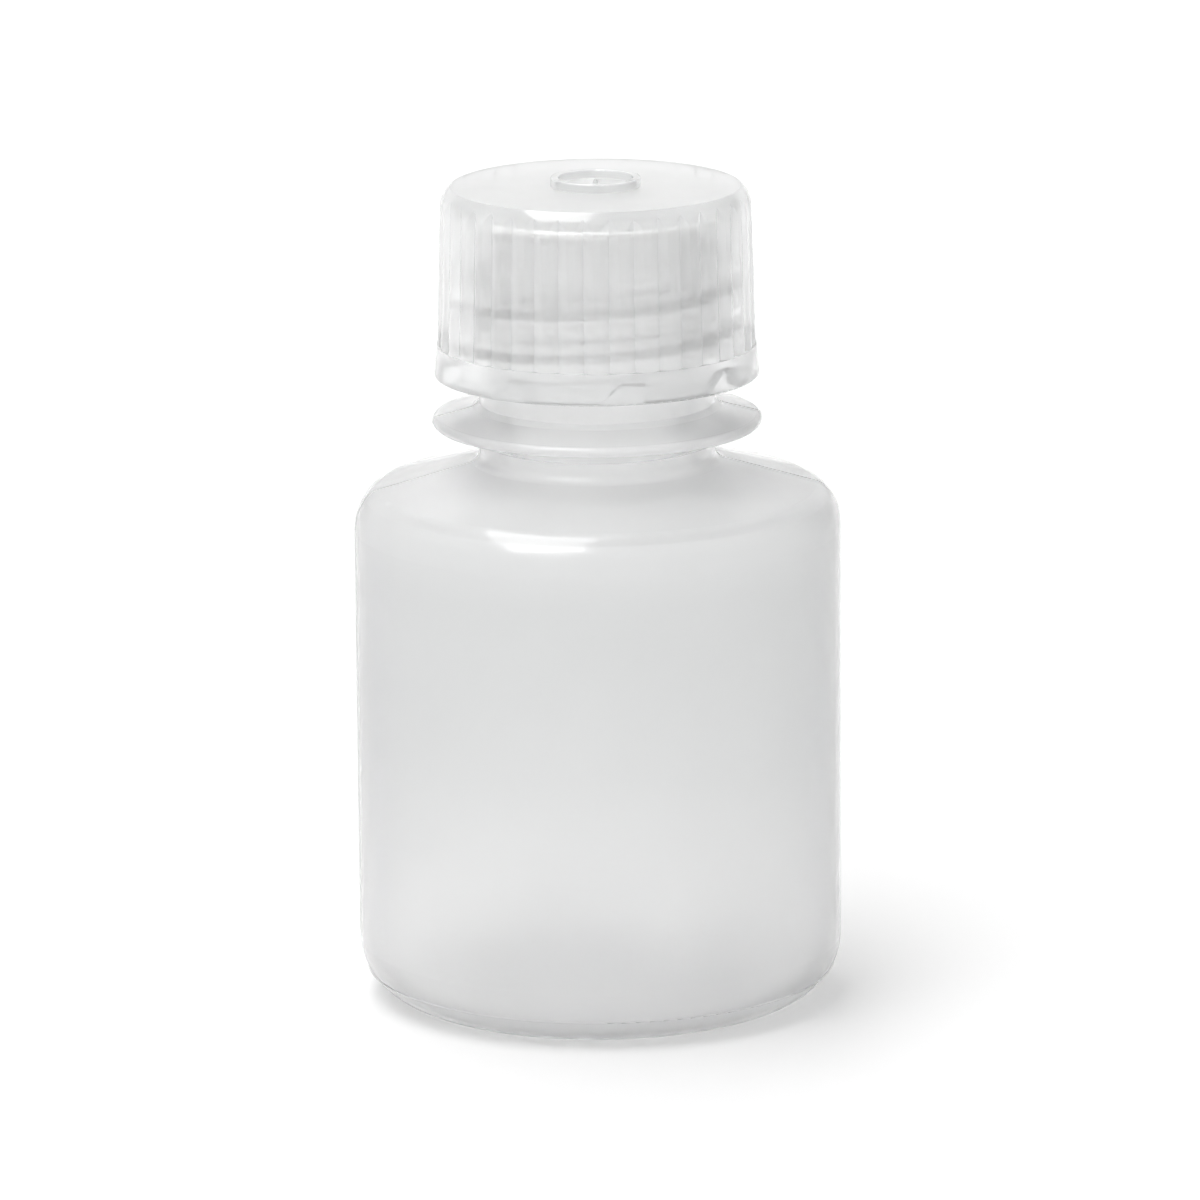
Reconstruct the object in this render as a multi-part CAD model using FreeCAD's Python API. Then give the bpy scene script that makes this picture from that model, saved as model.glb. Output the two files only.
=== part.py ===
"""Small translucent plastic reagent bottle with a ribbed screw cap, in millimetres.

The bottle stands on its base ring at z = 0 with its axis on +Z.  Three pieces:
  bottle      one blow-moulded shell with foot ring, shoulder, flange, neck thread and lip
  cap         one injection-moulded screw cap with grip ribs, band, inner thread and top ring
  seal_liner  the foamed disc between the cap's ceiling and the bottle's lip
"""
import FreeCAD, Part
import os
from math import atan2, cos, degrees, hypot, pi, radians, sin, tan

from FreeCAD import Vector

# ---- bottle: body ----
body_radius = 17.85
heel_radius = 4.4
wall_top = 35.3          # height where the straight wall ends
wall = 1.1               # wall thickness of base, body and shoulder
foot_width = 1.0         # width of the flat ring that the bottle stands on
base_rise = 1.1          # how far the middle of the base is pushed up

# ---- bottle: shoulder, from the wall up to the neck ----
lower_arc_radius = 3.8
lower_arc_angle = 37.0
upper_arc_radius = 2.0
shoulder_slope = 15.8    # degrees from level
neck_root_radius = 0.8   # concave fillet where shoulder meets neck

# ---- bottle: neck, flange and lip ----
neck_radius = 8.65
bore_radius = 6.7
bore_blend = 2.5         # rounding between the neck's bore and the shoulder's inside
flange_radius = 12.07
flange_rim = 0.8         # thickness of the flange at its rim
flange_middle = 43.3     # height of the rim's middle
flange_rise = 0.75       # how much higher the flange's top is at the neck than at the rim
flange_drop = 1.15       # how much lower its underside is at the neck than at the rim
lip_height = 58.3
lip_outer_round = 0.45
lip_inner_round = 0.6

# ---- threads, right-handed, one start ----
pitch = 3.175            # eight turns to the inch
thread_radius = 9.8      # over the bottle's thread
thread_low = 48.4        # height of the bottle thread's lower end
thread_high = 57.0
thread_front_height = 55.1  # height of the bottle thread's middle at the front, on -Y
thread_root_width = 2.1
thread_crest_width = 0.9
thread_fade = 35.0       # degrees over which a thread rises from the surface
thread_gap = 0.3         # radial gap between the two threads' crests and roots
cap_thread_low = 48.9
cap_thread_high = 56.0
cap_thread_root_width = 1.7
cap_thread_crest_width = 0.75

# ---- mould lines on the bottle ----
parting_height = 0.06
parting_width = 0.16
parting_turn = 3.5       # degrees from the X axis to the mould's parting plane
heel_line_height = 2.2
heel_line_radius = 0.08

# ---- cap ----
cap_top = 60.65
cap_bottom = 46.7
cap_flat_radius = 10.6   # edge of the flat top
cap_fillet_height = 1.45
ceiling_height = 59.1
rib_count = 38
rib_depth = 0.33
rib_top_radius = 11.36   # over the ribs, at the top of the cap
rib_foot_radius = 11.65  # over the ribs, at the band
band_top = 49.0
band_top_radius = 11.70
band_radius = 11.90
band_round = 0.15
mouth_chamfer = 0.45
ceiling_round = 0.5

ring_outer_radius = 3.28
ring_inner_radius = 2.70
ring_height = 0.65
ring_round = 0.12
gate_radius = 0.2
gate_height = 0.5

notch_count = 8          # saw-tooth notches inside the mouth, which hold the cap in its mould
notch_depth = 1.3
notch_width = 3.1
notch_ramp = 1.4
notch_turn = -88.3       # degrees from +X to the first notch's low side
notch_outer_radius = 11.15

# ---- seal liner ----
liner_radius = 9.4
liner_round = 0.15
liner_air = 0.1          # film of air between the liner and the cap's ceiling

cap_bore_radius = thread_radius + thread_gap
cap_crest_radius = neck_radius + thread_gap
liner_thickness = ceiling_height - lip_height - liner_air


def point(r, z):
    return Vector(r, 0, z)


class Outline:
    """Half section in the XZ plane, made of lines and arcs, that is turned about Z."""

    def __init__(self, r, z):
        self.here = point(r, z)
        self.first = self.here
        self.edges = []

    def line(self, r, z):
        end = point(r, z)
        if (end - self.here).Length > 1e-6:
            self.edges.append(Part.LineSegment(self.here, end).toShape())
            self.here = end
        return self

    def arc(self, centre_r, centre_z, radius, start, end):
        """Arc about a centre between two angles in degrees, measured from +X towards +Z."""
        def at(angle):
            turn = radians(angle)
            return point(centre_r + radius * cos(turn), centre_z + radius * sin(turn))
        self.line(at(start).x, at(start).z)
        self.edges.append(Part.Arc(self.here, at((start + end) / 2), at(end)).toShape())
        self.here = at(end)
        return self

    def through(self, mid_r, mid_z, end_r, end_z):
        end = point(end_r, end_z)
        self.edges.append(Part.Arc(self.here, point(mid_r, mid_z), end).toShape())
        self.here = end
        return self

    def solid(self):
        self.line(self.first.x, self.first.z)
        face = Part.Face(Part.Wire(self.edges))
        turned = face.revolve(Vector(0, 0, 0), Vector(0, 0, 1), 360)
        return Part.Solid(turned.Shells[0]) if turned.Shells else turned


def shoulder_end(offset):
    """Where the shoulder's upper arc ends and its cone begins, on a surface moved in by offset."""
    turn = radians(lower_arc_angle)
    centre_r = body_radius - lower_arc_radius + (lower_arc_radius - upper_arc_radius) * cos(turn)
    centre_z = wall_top + (lower_arc_radius - upper_arc_radius) * sin(turn)
    return centre_r, centre_z, upper_arc_radius - offset


def cone_height(r, offset):
    """Height at radius r of the shoulder's cone, moved in by offset."""
    centre_r, centre_z, radius = shoulder_end(offset)
    slope = radians(shoulder_slope)
    start_r = centre_r + radius * sin(slope)
    start_z = centre_z + radius * cos(slope)
    return start_z + (start_r - r) * tan(slope)


def draw_shoulder(outline, offset):
    centre_r, centre_z, radius = shoulder_end(offset)
    outline.arc(body_radius - lower_arc_radius, wall_top, lower_arc_radius - offset, 0, lower_arc_angle)
    outline.arc(centre_r, centre_z, radius, lower_arc_angle, 90 - shoulder_slope)


def draw_concave_corner(outline, wall_r, offset, fillet):
    """Concave fillet from the shoulder's cone into an upright wall outside it."""
    slope = radians(shoulder_slope)
    centre_r = wall_r + fillet
    centre_z = cone_height(centre_r, offset) + fillet / cos(slope)
    outline.arc(centre_r, centre_z, fillet, 270 - shoulder_slope, 180)


def bottle_outside(grow=0.0):
    """Solid of the bottle's outer form.  grow moves it out a little, for the parting line."""
    foot = body_radius - heel_radius
    outline = Outline(0, base_rise)
    outline.through((foot - foot_width) / 2, base_rise * 0.75, foot - foot_width, 0)
    outline.line(foot, 0)
    outline.arc(foot, heel_radius, heel_radius + grow, -90, 0)
    draw_shoulder(outline, -grow)
    draw_concave_corner(outline, neck_radius + grow, -grow, neck_root_radius)
    low_rim = flange_middle - flange_rim / 2 - grow
    high_rim = flange_middle + flange_rim / 2 + grow
    rim = flange_radius + grow
    outline.line(neck_radius + grow, low_rim - flange_drop)
    outline.line(rim - flange_rim / 2, low_rim)
    outline.through(rim, flange_middle, rim - flange_rim / 2, high_rim)
    outline.line(neck_radius + grow + 0.5, high_rim + flange_rise - 0.1)
    outline.line(neck_radius + grow, high_rim + flange_rise + 0.25)
    outline.line(neck_radius + grow, lip_height - lip_outer_round)
    outline.arc(neck_radius + grow - lip_outer_round, lip_height - lip_outer_round,
                lip_outer_round, 0, 90)
    outline.line(0, lip_height)
    return outline.solid()


def bottle_inside():
    """Solid of the space inside the bottle, up through the lip."""
    foot = body_radius - heel_radius
    slope = radians(shoulder_slope)
    above = 2.0
    outline = Outline(0, base_rise + wall)
    outline.through((foot - foot_width) / 2, base_rise * 0.75 + wall, foot - foot_width, wall)
    outline.line(foot, wall)
    outline.arc(foot, heel_radius, heel_radius - wall, -90, 0)
    draw_shoulder(outline, wall)
    centre_r = bore_radius + bore_blend
    centre_z = cone_height(centre_r, wall) + bore_blend / cos(slope)
    outline.arc(centre_r, centre_z, bore_blend, 270 - shoulder_slope, 180)
    outline.line(bore_radius, lip_height - lip_inner_round)
    outline.arc(bore_radius + lip_inner_round, lip_height - lip_inner_round,
                lip_inner_round, 180, 90)
    outline.line(bore_radius + lip_inner_round, lip_height + above)
    outline.line(0, lip_height + above)
    return outline.solid()


def thread_ridge(root_radius, crest_radius, root_width, crest_width, low, high, front_height):
    """Helical ridge whose middle passes front_height at -Y, faded in and out at its ends."""
    buried = 0.25 if crest_radius > root_radius else -0.25
    flank = (root_width - crest_width) / 2
    slope = flank / (crest_radius - root_radius)
    turn_low = 360 * (low - front_height) / pitch
    turn_high = 360 * (high - front_height) / pitch
    steps = int((turn_high - turn_low) / 7.5)
    sections = []
    for step in range(steps + 1):
        turn = turn_low + (turn_high - turn_low) * step / steps
        middle = front_height + pitch * turn / 360
        fade = min(1.0, (turn - turn_low) / thread_fade, (turn_high - turn) / thread_fade)
        crest = root_radius + (crest_radius - root_radius) * (0.04 + 0.96 * fade)
        half = root_width / 2 - slope * (crest - root_radius)
        foot_half = root_width / 2 + slope * buried
        corners = [(root_radius - buried, -foot_half), (crest, -half),
                   (crest, half), (root_radius - buried, foot_half)]
        around = radians(turn - 90)
        ring = [Vector(r * cos(around), r * sin(around), middle + z) for r, z in corners]
        sections.append(Part.makePolygon(ring + ring[:1]))
    return Part.makeLoft(sections, True, True)


def parting_line():
    """Fine ridge where the two mould halves met, from the heel up over the flange."""
    reach = 2 * flange_radius + body_radius
    slab = Part.makeBox(reach * 2, parting_width, flange_middle + 1.6 - heel_radius,
                        Vector(-reach, -parting_width / 2, heel_radius))
    slab.rotate(Vector(0, 0, 0), Vector(0, 0, 1), parting_turn)
    return bottle_outside(parting_height).common(slab)


def heel_line():
    """Bead on the heel where the mould's base insert met its sides."""
    height = heel_radius - heel_line_height
    ring_radius = body_radius - heel_radius + (heel_radius ** 2 - height ** 2) ** 0.5
    return Part.makeTorus(ring_radius, heel_line_radius, Vector(0, 0, heel_line_height))


def make_bottle():
    thread = thread_ridge(neck_radius, thread_radius, thread_root_width, thread_crest_width,
                          thread_low, thread_high, thread_front_height)
    outside = bottle_outside().fuse([thread, parting_line(), heel_line()])
    return outside.cut(bottle_inside())


def ribbed_wire(crest_radius, height):
    """Closed ring of rib_count convex arcs that meet in narrow grooves."""
    valley = crest_radius - rib_depth
    step = 2 * pi / rib_count
    edges = []
    for index in range(rib_count):
        start, middle, end = (index * step, (index + 0.5) * step, (index + 1) * step)
        edges.append(Part.Arc(
            Vector(valley * cos(start), valley * sin(start), height),
            Vector(crest_radius * cos(middle), crest_radius * sin(middle), height),
            Vector(valley * cos(end), valley * sin(end), height)).toShape())
    return Part.Wire(edges)


def cap_grip():
    """Upper, ribbed part of the cap, solid, with its rounded top edge."""
    above = 1.0
    rise = cap_top + above - band_top
    draft = (rib_foot_radius - rib_top_radius) / (cap_top - band_top)
    ribs = Part.makeLoft([ribbed_wire(rib_foot_radius, band_top),
                          ribbed_wire(rib_foot_radius - draft * rise, band_top + rise)],
                         True, True)
    inset = rib_top_radius - cap_flat_radius
    turn = 2 * degrees(atan2(inset, cap_fillet_height))
    radius = hypot(inset, cap_fillet_height) / (2 * sin(radians(turn / 2)))
    spring = cap_top - cap_fillet_height
    outline = Outline(0, band_top)
    outline.line(rib_foot_radius + 0.02, band_top)
    outline.line(rib_top_radius, spring)
    outline.arc(rib_top_radius - radius, spring, radius, 0, turn)
    outline.line(0, cap_top)
    return ribs.common(outline.solid())


def cap_band():
    """Smooth band round the cap's mouth, solid."""
    outline = Outline(0, cap_bottom)
    outline.line(band_radius - band_round, cap_bottom)
    outline.arc(band_radius - band_round, cap_bottom + band_round, band_round, -90, 0)
    outline.line(band_top_radius, band_top)
    outline.line(0, band_top)
    return outline.solid()


def cap_cavity():
    """Space inside the cap, before its thread is added."""
    below = 1.0
    outline = Outline(0, cap_bottom - below)
    outline.line(cap_bore_radius + mouth_chamfer, cap_bottom - below)
    outline.line(cap_bore_radius + mouth_chamfer, cap_bottom)
    outline.line(cap_bore_radius, cap_bottom + mouth_chamfer)
    outline.line(cap_bore_radius, ceiling_height - ceiling_round)
    outline.arc(cap_bore_radius - ceiling_round, ceiling_height - ceiling_round,
                ceiling_round, 0, 90)
    outline.line(0, ceiling_height)
    return outline.solid()


def top_ring():
    """Raised ring round the gate mark in the middle of the cap's top."""
    sunk = 0.2
    outline = Outline(ring_inner_radius, cap_top - sunk)
    outline.line(ring_outer_radius, cap_top - sunk)
    outline.arc(ring_outer_radius - ring_round, cap_top + ring_height - ring_round,
                ring_round, 0, 90)
    outline.arc(ring_inner_radius + ring_round, cap_top + ring_height - ring_round,
                ring_round, 90, 180)
    gate = Part.makeCone(gate_radius, gate_radius * 0.7, gate_height + sunk,
                         Vector(0, 0, cap_top - sunk))
    return outline.solid().fuse(gate)


def mould_notches():
    """Saw-tooth notches: a ramp on one side and an upright stop on the other."""
    below = 0.5
    tooth = Part.makePolygon([
        Vector(notch_outer_radius, 0, -below), Vector(notch_outer_radius, 0, 0),
        Vector(notch_outer_radius, notch_ramp, notch_depth),
        Vector(notch_outer_radius, notch_width, notch_depth),
        Vector(notch_outer_radius, notch_width, -below),
        Vector(notch_outer_radius, 0, -below)])
    inward = cap_bore_radius - notch_outer_radius - 1.0
    solid = Part.Face(tooth).extrude(Vector(inward, 0, 0))
    solid.translate(Vector(0, 0, cap_bottom))
    notches = []
    for index in range(notch_count):
        notch = solid.copy()
        notch.rotate(Vector(0, 0, 0), Vector(0, 0, 1), notch_turn + 360 * index / notch_count)
        notches.append(notch)
    return notches


def make_cap():
    body = cap_grip().fuse([cap_band(), top_ring()])
    shell = body.cut([cap_cavity()] + mould_notches())
    thread = thread_ridge(cap_bore_radius, cap_crest_radius, cap_thread_root_width,
                          cap_thread_crest_width, cap_thread_low, cap_thread_high,
                          thread_front_height - pitch / 2)
    return shell.fuse(thread)


def make_seal_liner():
    disc = Part.makeCylinder(liner_radius, liner_thickness, Vector(0, 0, lip_height))
    rims = [edge for edge in disc.Edges if edge.isClosed()]
    return disc.makeFillet(liner_round, rims)


def main():
    os.makedirs("parts", exist_ok=True)
    pieces = {"bottle": make_bottle(), "cap": make_cap(), "seal_liner": make_seal_liner()}
    for name, shape in pieces.items():
        solids = shape.Solids
        if len(solids) != 1 or not solids[0].isValid():
            raise ValueError(name + " is not one valid solid")
        solids[0].exportStep("parts/" + name + ".step")
        box = solids[0].BoundBox
        print(name, "volume", round(solids[0].Volume, 1), "mm3, z", round(box.ZMin, 2), round(box.ZMax, 2))
    print("space inside", round(bottle_inside().Volume / 1000, 1), "ml to above the lip")


main()
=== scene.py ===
"""Looks of a small translucent plastic reagent bottle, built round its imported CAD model."""
from math import cos, radians, sin

import bpy
from mathutils import Matrix, Vector

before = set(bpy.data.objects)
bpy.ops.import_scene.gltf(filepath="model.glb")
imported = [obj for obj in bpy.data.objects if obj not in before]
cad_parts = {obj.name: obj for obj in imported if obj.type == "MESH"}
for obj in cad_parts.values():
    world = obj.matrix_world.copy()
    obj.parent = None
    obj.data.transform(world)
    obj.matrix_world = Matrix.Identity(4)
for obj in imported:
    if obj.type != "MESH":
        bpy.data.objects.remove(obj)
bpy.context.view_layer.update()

# Heights, in metres, between which the plastics' colour is ramped as painted light and shade: the
# bottle's heel and neck and the cap's ribbed sides are whitened where less light reaches them, and the
# cap's top is greyed where more light falls.
lightened_heel_heights = (0.004, 0.020)
lightened_neck_heights = (0.033, 0.041)
lightened_cap_side_heights = (0.0478, 0.0492)
shaded_cap_top_heights = (0.0585, 0.0602)

scene = bpy.context.scene
scene.view_settings.view_transform = "Standard"
scene.view_settings.look = "None"
# Light crosses many faces of clear plastic before it leaves the bottle.
scene.cycles.max_bounces = 32
scene.cycles.diffuse_bounces = 24
scene.cycles.glossy_bounces = 8
scene.cycles.transmission_bounces = 24

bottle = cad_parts["bottle"]
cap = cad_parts["cap"]
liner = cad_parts["seal_liner"]


# ---------------------------------------------------------------- materials

class Shader:
    """One procedural material: a Principled shader fed by noise in the piece's own space."""

    def __init__(self, name):
        self.material = bpy.data.materials.new(name)
        self.material.use_nodes = True
        tree = self.material.node_tree
        self.nodes, self.links = tree.nodes, tree.links
        self.bsdf = self.nodes["Principled BSDF"]
        self.place = self.nodes.new("ShaderNodeTexCoord").outputs["Object"]

    def set(self, **values):
        for name, value in values.items():
            self.bsdf.inputs[name.replace("_", " ")].default_value = value

    def stretched(self, scale):
        mapping = self.nodes.new("ShaderNodeMapping")
        mapping.inputs["Scale"].default_value = scale
        self.links.new(self.place, mapping.inputs["Vector"])
        return mapping.outputs["Vector"]

    def noise(self, scale, detail=2.0, roughness=0.5, vector=None):
        node = self.nodes.new("ShaderNodeTexNoise")
        node.inputs["Scale"].default_value = scale
        node.inputs["Detail"].default_value = detail
        node.inputs["Roughness"].default_value = roughness
        self.links.new(vector or self.place, node.inputs["Vector"])
        return node.outputs["Fac"]

    def height(self):
        node = self.nodes.new("ShaderNodeSeparateXYZ")
        self.links.new(self.place, node.inputs["Vector"])
        return node.outputs["Z"]

    def sum(self, first, second):
        node = self.nodes.new("ShaderNodeMath")
        self.links.new(first, node.inputs[0])
        self.links.new(second, node.inputs[1])
        return node.outputs["Value"]

    def ramp(self, value, low, high, low_out, high_out):
        node = self.nodes.new("ShaderNodeMapRange")
        for name, number in (("From Min", low), ("From Max", high),
                             ("To Min", low_out), ("To Max", high_out)):
            node.inputs[name].default_value = number
        self.links.new(value, node.inputs["Value"])
        return node.outputs["Result"]

    def colour(self, value, dark, light):
        node = self.nodes.new("ShaderNodeMix")
        node.data_type = "RGBA"
        node.inputs["A"].default_value = (*dark, 1)
        node.inputs["B"].default_value = (*light, 1)
        self.links.new(value, node.inputs["Factor"])
        self.links.new(node.outputs["Result"], self.bsdf.inputs["Base Color"])

    def bumps(self, *layers):
        """layers are (height, distance in metres), from the coarsest to the finest."""
        normal = None
        for height, distance in layers:
            node = self.nodes.new("ShaderNodeBump")
            node.inputs["Distance"].default_value = distance
            self.links.new(height, node.inputs["Height"])
            if normal:
                self.links.new(normal, node.inputs["Normal"])
            normal = node.outputs["Normal"]
        self.links.new(normal, self.bsdf.inputs["Normal"])

    def feed(self, name, value):
        self.links.new(value, self.bsdf.inputs[name])


def bottle_plastic():
    """Milky blow-moulded polyethylene: cloudy, satin, faintly drawn along its height.

    The colour is greyest in the body and whiter down at the heel and up in the neck; that whitening is
    painted light, lifting the shade low on the body and round the neck under the flange and cap.
    """
    shader = Shader("bottle_polyethylene")
    cloud = shader.ramp(shader.noise(90, 3), 0.3, 0.7, 0, 0.15)
    # Painted light: the heel and the neck are whitened against the shade that falls on them.
    heel_light_paint = shader.ramp(shader.height(), *lightened_heel_heights, 0.8, 0)
    neck_light_paint = shader.ramp(shader.height(), *lightened_neck_heights, 0, 0.8)
    shader.colour(shader.sum(shader.sum(cloud, heel_light_paint), neck_light_paint), (0.835, 0.84, 0.84), (0.97, 0.97, 0.97))
    shader.feed("Roughness", shader.ramp(shader.noise(260, 3), 0.3, 0.7, 0.44, 0.50))
    shader.set(IOR=1.15, Transmission_Weight=0.85, Specular_IOR_Level=0.2,
               Coat_Weight=1.0, Coat_Roughness=0.02, Coat_IOR=1.4)
    drawn = shader.noise(700, 2, vector=shader.stretched((1, 1, 0.08)))
    shader.bumps((shader.noise(70, 1), 0.00002), (drawn, 0.000008), (shader.noise(2500, 2), 0.000003))
    return shader.material


def cap_plastic():
    """Clearer injection-moulded polypropylene, greyer in the top and band than in the ribbed sides
    between: painted shade on the top, which gets more light from overhead, and painted light on the
    dimmer ribbed sides.
    """
    shader = Shader("cap_polypropylene")
    cloud = shader.ramp(shader.noise(140, 3), 0.3, 0.7, 0, 0.15)
    # Painted light whitens the ribbed sides and painted shade greys the top.
    cap_side_light_paint = shader.ramp(shader.height(), *lightened_cap_side_heights, 0, 0.85)
    cap_top_shade_paint = shader.ramp(shader.height(), *shaded_cap_top_heights, 0, -0.85)
    shader.colour(shader.sum(shader.sum(cloud, cap_side_light_paint), cap_top_shade_paint), (0.865, 0.87, 0.87), (0.97, 0.972, 0.972))
    shader.feed("Roughness", shader.ramp(shader.noise(400, 3), 0.3, 0.7, 0.29, 0.35))
    shader.set(IOR=1.12, Transmission_Weight=0.82, Coat_Weight=1.0, Coat_Roughness=0.05)
    shader.bumps((shader.noise(180, 1), 0.00003), (shader.noise(2500, 2), 0.000005))
    return shader.material


def liner_foam():
    """White foamed polyethylene, matt, with fine cells."""
    shader = Shader("liner_foam")
    cells = shader.noise(2600, 3)
    shader.colour(shader.ramp(cells, 0.3, 0.7, 0, 1), (0.92, 0.92, 0.91), (0.95, 0.95, 0.94))
    shader.set(Roughness=0.75)
    shader.bumps((cells, 0.00005))
    return shader.material


def floor_paper():
    """Pale matt sheet that glows a little, as if lit from below."""
    shader = Shader("floor_paper")
    shader.colour(shader.noise(40, 3), (0.45, 0.45, 0.45), (0.47, 0.47, 0.47))
    shader.set(Roughness=0.9, Specular_IOR_Level=0.2, Emission_Color=(1, 1, 1, 1),
               Emission_Strength=0.35)
    return shader.material


def paint(piece, material):
    piece.data.materials.clear()
    piece.data.materials.append(material)


paint(bottle, bottle_plastic())
paint(cap, cap_plastic())
paint(liner, liner_foam())


# ---------------------------------------------------------------- floor

def add_floor(size):
    """Square floor under the bottle, for the picture only."""
    half = size / 2
    mesh = bpy.data.meshes.new("floor")
    mesh.from_pydata([(-half, -half, 0), (half, -half, 0), (half, half, 0), (-half, half, 0)],
                     [], [(0, 1, 2, 3)])
    floor = bpy.data.objects.new("floor", mesh)
    scene.collection.objects.link(floor)
    paint(floor, floor_paper())


add_floor(size=4.0)


# ---------------------------------------------------------------- light

def studio(tent, flag, flag_height, backdrop, far_wall, far_share,
           key, key_along, key_left, key_right):
    """Light tent over a glowing table, dimmer overhead, with one bright panel above.

    The dimmer part starts at flag_height and stops where a direction's y passes backdrop. Far
    behind the bottle, beyond far_wall in y, the tent is only far_share as bright.
    The panel is marked out in x / z and y / z of a direction: key_along gives its ends in
    y / z, and its sides are straight lines given by (x / z at y / z = 0, slope).
    """
    world = bpy.data.worlds.new("studio")
    world.use_nodes = True
    nodes, links = world.node_tree.nodes, world.node_tree.links

    def math(operation, first, second):
        node = nodes.new("ShaderNodeMath")
        node.operation = operation
        for socket, value in zip(node.inputs, (first, second)):
            if isinstance(value, (int, float)):
                socket.default_value = value
            else:
                links.new(value, socket)
        return node.outputs["Value"]

    def ramp(value, low, high, low_out, high_out):
        node = nodes.new("ShaderNodeMapRange")
        node.interpolation_type = "SMOOTHSTEP"
        for name, number in (("From Min", low), ("From Max", high),
                             ("To Min", low_out), ("To Max", high_out)):
            node.inputs[name].default_value = number
        links.new(value, node.inputs["Value"])
        return node.outputs["Result"]

    def above(value, edge, soft=0.03):
        return ramp(value, edge - soft, edge + soft, 0, 1)

    def below(value, edge, soft=0.03):
        return ramp(value, edge - soft, edge + soft, 1, 0)

    def product(*values):
        result = values[0]
        for value in values[1:]:
            result = math("MULTIPLY", result, value)
        return result

    split = nodes.new("ShaderNodeSeparateXYZ")
    links.new(nodes.new("ShaderNodeTexCoord").outputs["Generated"], split.inputs["Vector"])
    height = split.outputs["Z"]
    up = math("MAXIMUM", height, 0.02)
    across = math("DIVIDE", split.outputs["X"], up)
    along = math("DIVIDE", split.outputs["Y"], up)
    left = math("SUBTRACT", across, math("MULTIPLY", along, key_left[1]))
    right = math("SUBTRACT", across, math("MULTIPLY", along, key_right[1]))
    panel = product(above(left, key_left[0]), below(right, key_right[0]),
                    above(along, key_along[0]), below(along, key_along[1]))
    dimmed = product(above(height, flag_height, 0.06), below(split.outputs["Y"], backdrop, 0.06))
    walls = ramp(split.outputs["Y"], *far_wall, tent, far_share * tent)
    surround = math("ADD", math("MULTIPLY", dimmed, flag - tent), walls)
    background = nodes["Background"]
    background.inputs["Color"].default_value = (1, 1, 1, 1)
    links.new(math("ADD", surround, math("MULTIPLY", panel, key)), background.inputs["Strength"])
    scene.world = world


studio(tent=1.02, flag=0.52, flag_height=0.14, backdrop=0.72, far_wall=(0.5, 0.8), far_share=0.85,
       key=6.0, key_along=(-0.86, 0.85), key_left=(-0.59, 0.43), key_right=(-0.02, 0.1))


# ---------------------------------------------------------------- camera

def add_camera(elevation, distance, aim, roll, lens):
    """Camera in front of the bottle, looking down at aim by elevation degrees."""
    tilt = radians(elevation)
    lean = radians(roll)
    forward = Vector((0, cos(tilt), -sin(tilt)))
    place = Vector(aim) - forward * distance
    right = forward.cross(Vector((sin(lean), 0, cos(lean)))).normalized()
    up = right.cross(forward)
    camera = bpy.data.objects.new("camera", bpy.data.cameras.new("camera"))
    camera.matrix_world = Matrix((
        (right.x, up.x, -forward.x, place.x),
        (right.y, up.y, -forward.y, place.y),
        (right.z, up.z, -forward.z, place.z),
        (0, 0, 0, 1)))
    camera.data.lens = lens
    camera.data.sensor_width = 36
    camera.data.clip_start = 0.01
    scene.collection.objects.link(camera)
    scene.camera = camera


add_camera(elevation=13.4, distance=0.640, aim=(0.00011, 0, 0.0296), roll=0.4, lens=260.7)
